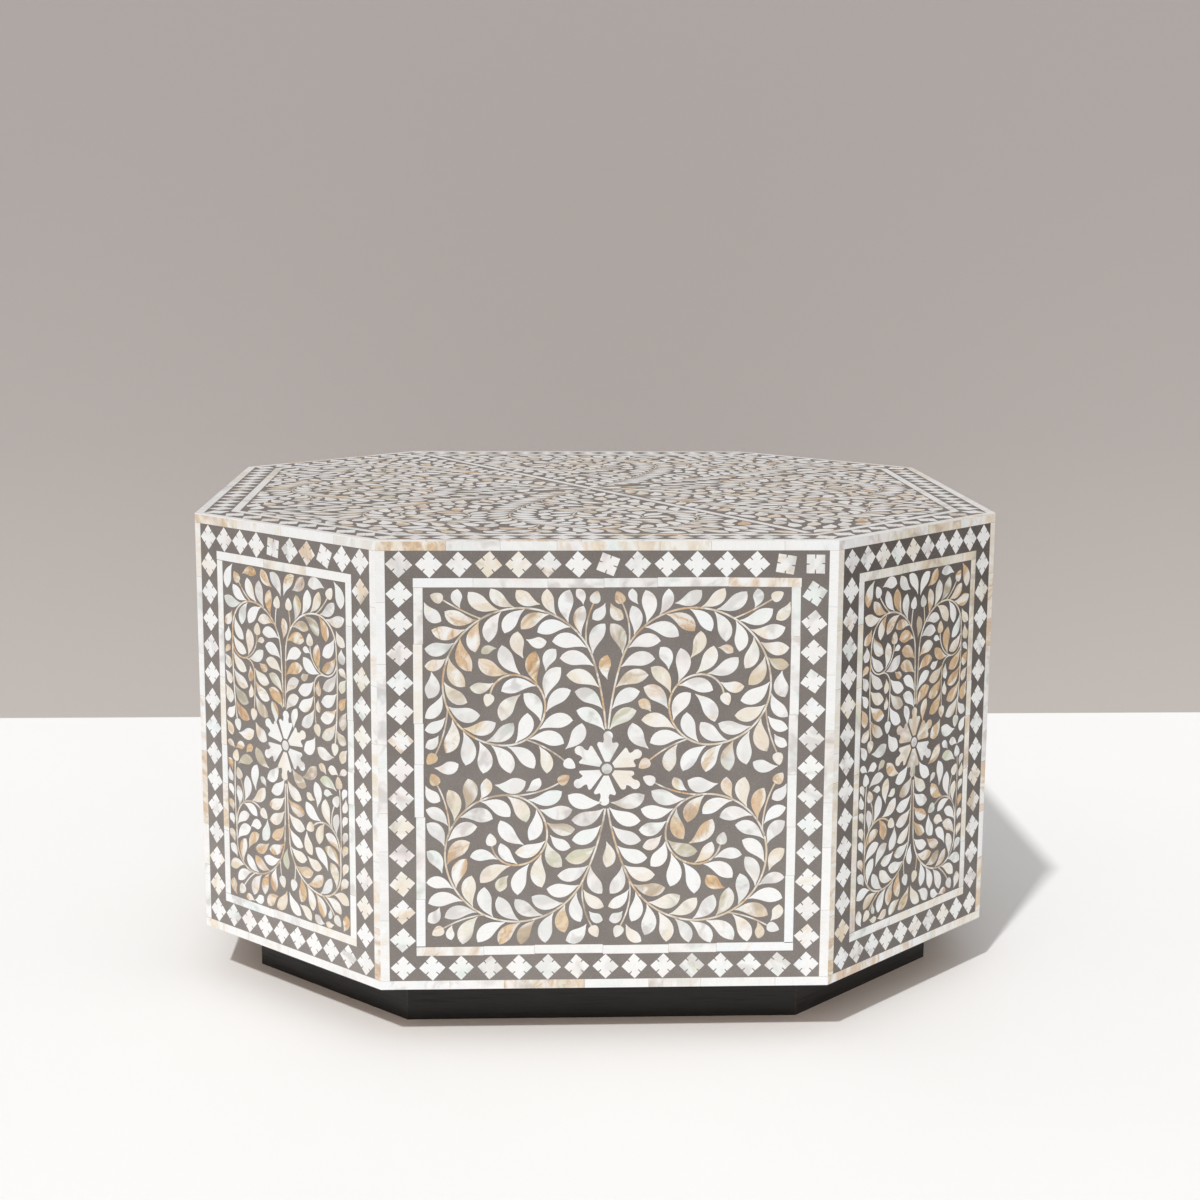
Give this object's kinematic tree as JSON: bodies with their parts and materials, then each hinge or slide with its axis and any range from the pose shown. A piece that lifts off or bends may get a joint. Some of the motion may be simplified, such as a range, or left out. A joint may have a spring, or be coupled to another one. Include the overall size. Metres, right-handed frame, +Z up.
{
  "type": "inlaid coffee table",
  "caption": "Octagonal drum coffee table with mother-of-pearl scrolls, leaves and diamond borders in dark resin, on a recessed dark wooden plinth.",
  "frame": {"origin": "middle of the footprint, on the floor", "axes": "+Z is up and the front large face looks along -Y, with a further large face towards -X, +X and +Y"},
  "size_m": [0.76, 0.76, 0.452],
  "materials": {
    "carcass_wood": "plain sanded board",
    "batten_wood": "sawn softwood",
    "plinth_wood": "dark stain, satin",
    "resin_ground": "filled resin, ground flat and satin",
    "pearl_border": "polished shell",
    "pearl_scroll": "polished shell",
    "pearl_leaves": "polished shell",
    "screw_steel": "zinc plated"
  },
  "bodies": {
    "root": {"top_board": "carcass_wood", "top_ground": "resin_ground", "top_border": "pearl_border", "top_scroll": "pearl_scroll", "top_leaves": "pearl_leaves", "board_front": "carcass_wood", "board_front_right": "carcass_wood", "board_right": "carcass_wood", "board_back_right": "carcass_wood", "board_back": "carcass_wood", "board_back_left": "carcass_wood", "board_left": "carcass_wood", "board_front_left": "carcass_wood", "ground_front": "resin_ground", "ground_front_right": "resin_ground", "ground_right": "resin_ground", "ground_back_right": "resin_ground", "ground_back": "resin_ground", "ground_back_left": "resin_ground", "ground_left": "resin_ground", "ground_front_left": "resin_ground", "border_front": "pearl_border", "border_front_right": "pearl_border", "border_right": "pearl_border", "border_back_right": "pearl_border", "border_back": "pearl_border", "border_back_left": "pearl_border", "border_left": "pearl_border", "border_front_left": "pearl_border", "scroll_front": "pearl_scroll", "scroll_front_right": "pearl_scroll", "scroll_right": "pearl_scroll", "scroll_back_right": "pearl_scroll", "scroll_back": "pearl_scroll", "scroll_back_left": "pearl_scroll", "scroll_left": "pearl_scroll", "scroll_front_left": "pearl_scroll", "leaves_front": "pearl_leaves", "leaves_front_right": "pearl_leaves", "leaves_right": "pearl_leaves", "leaves_back_right": "pearl_leaves", "leaves_back": "pearl_leaves", "leaves_back_left": "pearl_leaves", "leaves_left": "pearl_leaves", "leaves_front_left": "pearl_leaves", "plinth_front": "plinth_wood", "plinth_front_right": "plinth_wood", "plinth_right": "plinth_wood", "plinth_back_right": "plinth_wood", "plinth_back": "plinth_wood", "plinth_back_left": "plinth_wood", "plinth_left": "plinth_wood", "plinth_front_left": "plinth_wood", "bottom_board": "carcass_wood", "corner_posts": "batten_wood", "top_cleats": "batten_wood", "plinth_blocks": "batten_wood", "top_screws": "screw_steel", "bottom_screws": "screw_steel", "plinth_screws": "screw_steel"}
  },
  "joints": []
}
